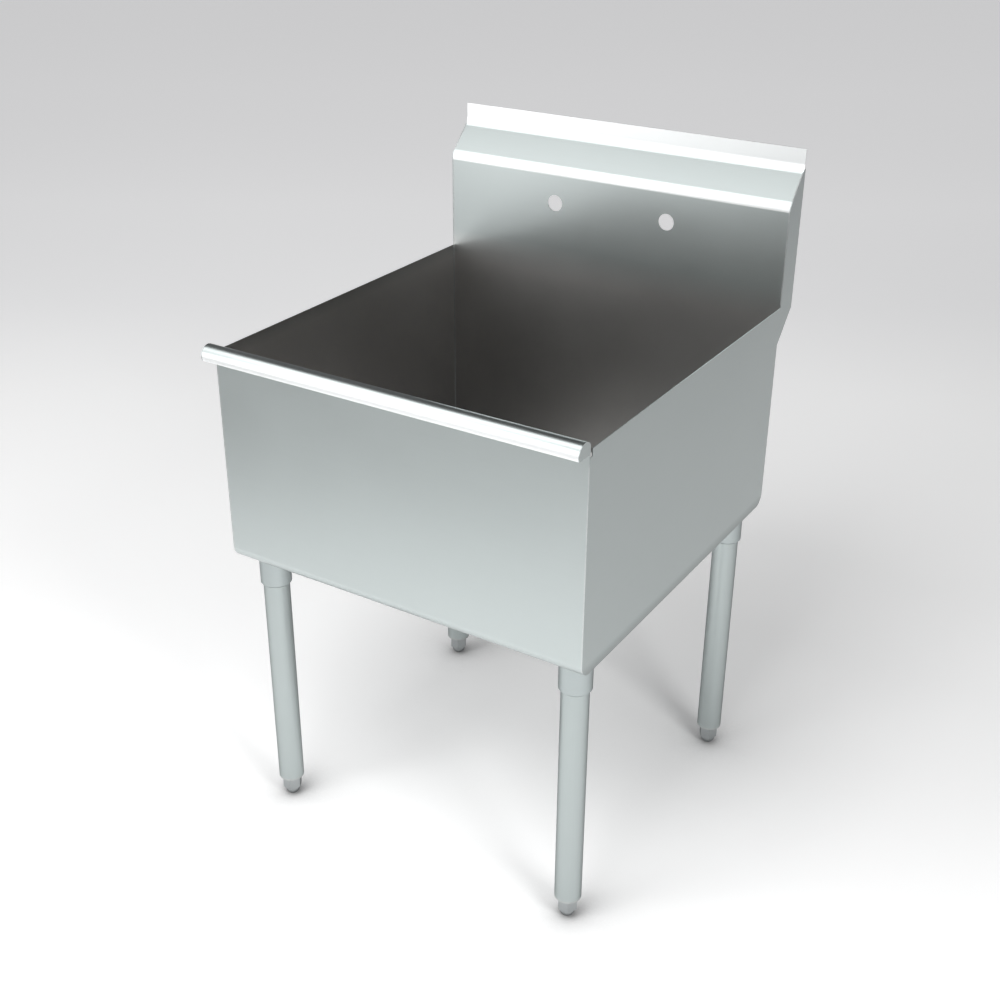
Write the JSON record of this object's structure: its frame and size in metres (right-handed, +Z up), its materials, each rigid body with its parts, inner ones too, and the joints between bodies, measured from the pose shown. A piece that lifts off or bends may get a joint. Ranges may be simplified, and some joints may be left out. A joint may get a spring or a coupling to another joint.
{
  "type": "utility laundry sink",
  "caption": "Free-standing stainless laundry sink with a deep square bowl, rolled front rim, splashback with faucet holes, tube legs and screw-adjustable feet.",
  "frame": {"origin": "on the floor, under the centre of the whole sink's box", "axes": "+X to the right seen from the user, +Y from the user to the wall, +Z up"},
  "size_m": [0.61, 0.6846, 1.0468],
  "materials": {
    "sheet_steel": "satin brushed sheet",
    "plate_steel": "mill finish, welded",
    "socket_steel": "satin turned",
    "tube_steel": "satin drawn tube",
    "screw_steel": "blackened",
    "stem_steel": "zinc plated thread",
    "foot_metal": "satin turned",
    "insert_nylon": "moulded",
    "drain_steel": "polished",
    "basket_steel": "polished",
    "knob_steel": "polished",
    "tail_steel": "polished",
    "brass": "rough cast and machined",
    "rubber": "matt",
    "putty": "matt",
    "fibre": "pressed fibre",
    "washer_nylon": "moulded"
  },
  "bodies": {
    "sink": {"bowl_wrap": "sheet_steel", "left_side_panel": "sheet_steel", "right_side_panel": "sheet_steel", "left_rim_cap": "sheet_steel", "right_rim_cap": "sheet_steel", "socket_set_screws": "screw_steel", "leg_plate_front_left": "plate_steel", "leg_socket_front_left": "socket_steel", "leg_tube_front_left": "tube_steel", "foot_insert_front_left": "insert_nylon", "leg_plate_front_right": "plate_steel", "leg_socket_front_right": "socket_steel", "leg_tube_front_right": "tube_steel", "foot_insert_front_right": "insert_nylon", "leg_plate_rear_left": "plate_steel", "leg_socket_rear_left": "socket_steel", "leg_tube_rear_left": "tube_steel", "foot_insert_rear_left": "insert_nylon", "leg_plate_rear_right": "plate_steel", "leg_socket_rear_right": "socket_steel", "leg_tube_rear_right": "tube_steel", "foot_insert_rear_right": "insert_nylon", "drain_body": "drain_steel", "drain_seal_ring": "putty", "drain_gasket": "rubber", "drain_friction_ring": "fibre", "drain_locknut": "brass", "tailpiece": "tail_steel", "tailpiece_washer": "washer_nylon", "coupling_nut": "brass"},
    "stem_front_left": {"foot_stem_front_left": "stem_steel"},
    "foot_front_left": {"foot_front_left": "foot_metal"},
    "stem_front_right": {"foot_stem_front_right": "stem_steel"},
    "foot_front_right": {"foot_front_right": "foot_metal"},
    "stem_rear_left": {"foot_stem_rear_left": "stem_steel"},
    "foot_rear_left": {"foot_rear_left": "foot_metal"},
    "stem_rear_right": {"foot_stem_rear_right": "stem_steel"},
    "foot_rear_right": {"foot_rear_right": "foot_metal"},
    "basket": {"strainer_basket": "basket_steel", "basket_seal": "rubber", "basket_knob": "knob_steel"}
  },
  "joints": [
    {"name": "foot_travel_front_left", "type": "slide", "parent": "sink", "child": "stem_front_left", "axis": [0, 0, -1], "range_m": [0, 0.025]},
    {"name": "foot_screw_front_left", "type": "hinge", "parent": "stem_front_left", "child": "foot_front_left", "pos_m": [-0.269, -0.2635, 0.02], "axis": [0, 0, -1], "range_deg": [0, 4500]},
    {"name": "foot_travel_front_right", "type": "slide", "parent": "sink", "child": "stem_front_right", "axis": [0, 0, -1], "range_m": [0, 0.025]},
    {"name": "foot_screw_front_right", "type": "hinge", "parent": "stem_front_right", "child": "foot_front_right", "pos_m": [0.269, -0.2635, 0.02], "axis": [0, 0, -1], "range_deg": [0, 4500]},
    {"name": "foot_travel_rear_left", "type": "slide", "parent": "sink", "child": "stem_rear_left", "axis": [0, 0, -1], "range_m": [0, 0.025]},
    {"name": "foot_screw_rear_left", "type": "hinge", "parent": "stem_rear_left", "child": "foot_rear_left", "pos_m": [-0.269, 0.2465, 0.02], "axis": [0, 0, -1], "range_deg": [0, 4500]},
    {"name": "foot_travel_rear_right", "type": "slide", "parent": "sink", "child": "stem_rear_right", "axis": [0, 0, -1], "range_m": [0, 0.025]},
    {"name": "foot_screw_rear_right", "type": "hinge", "parent": "stem_rear_right", "child": "foot_rear_right", "pos_m": [0.269, 0.2465, 0.02], "axis": [0, 0, -1], "range_deg": [0, 4500]},
    {"name": "basket_lift", "type": "slide", "parent": "sink", "child": "basket", "axis": [0, 0, 1], "range_m": [0, 0.045]}
  ],
  "couplings": [
    {"joint": "foot_travel_front_left", "follows": "foot_screw_front_left", "m_per_rad": 0.0003183},
    {"joint": "foot_travel_front_right", "follows": "foot_screw_front_right", "m_per_rad": 0.0003183},
    {"joint": "foot_travel_rear_left", "follows": "foot_screw_rear_left", "m_per_rad": 0.0003183},
    {"joint": "foot_travel_rear_right", "follows": "foot_screw_rear_right", "m_per_rad": 0.0003183}
  ]
}
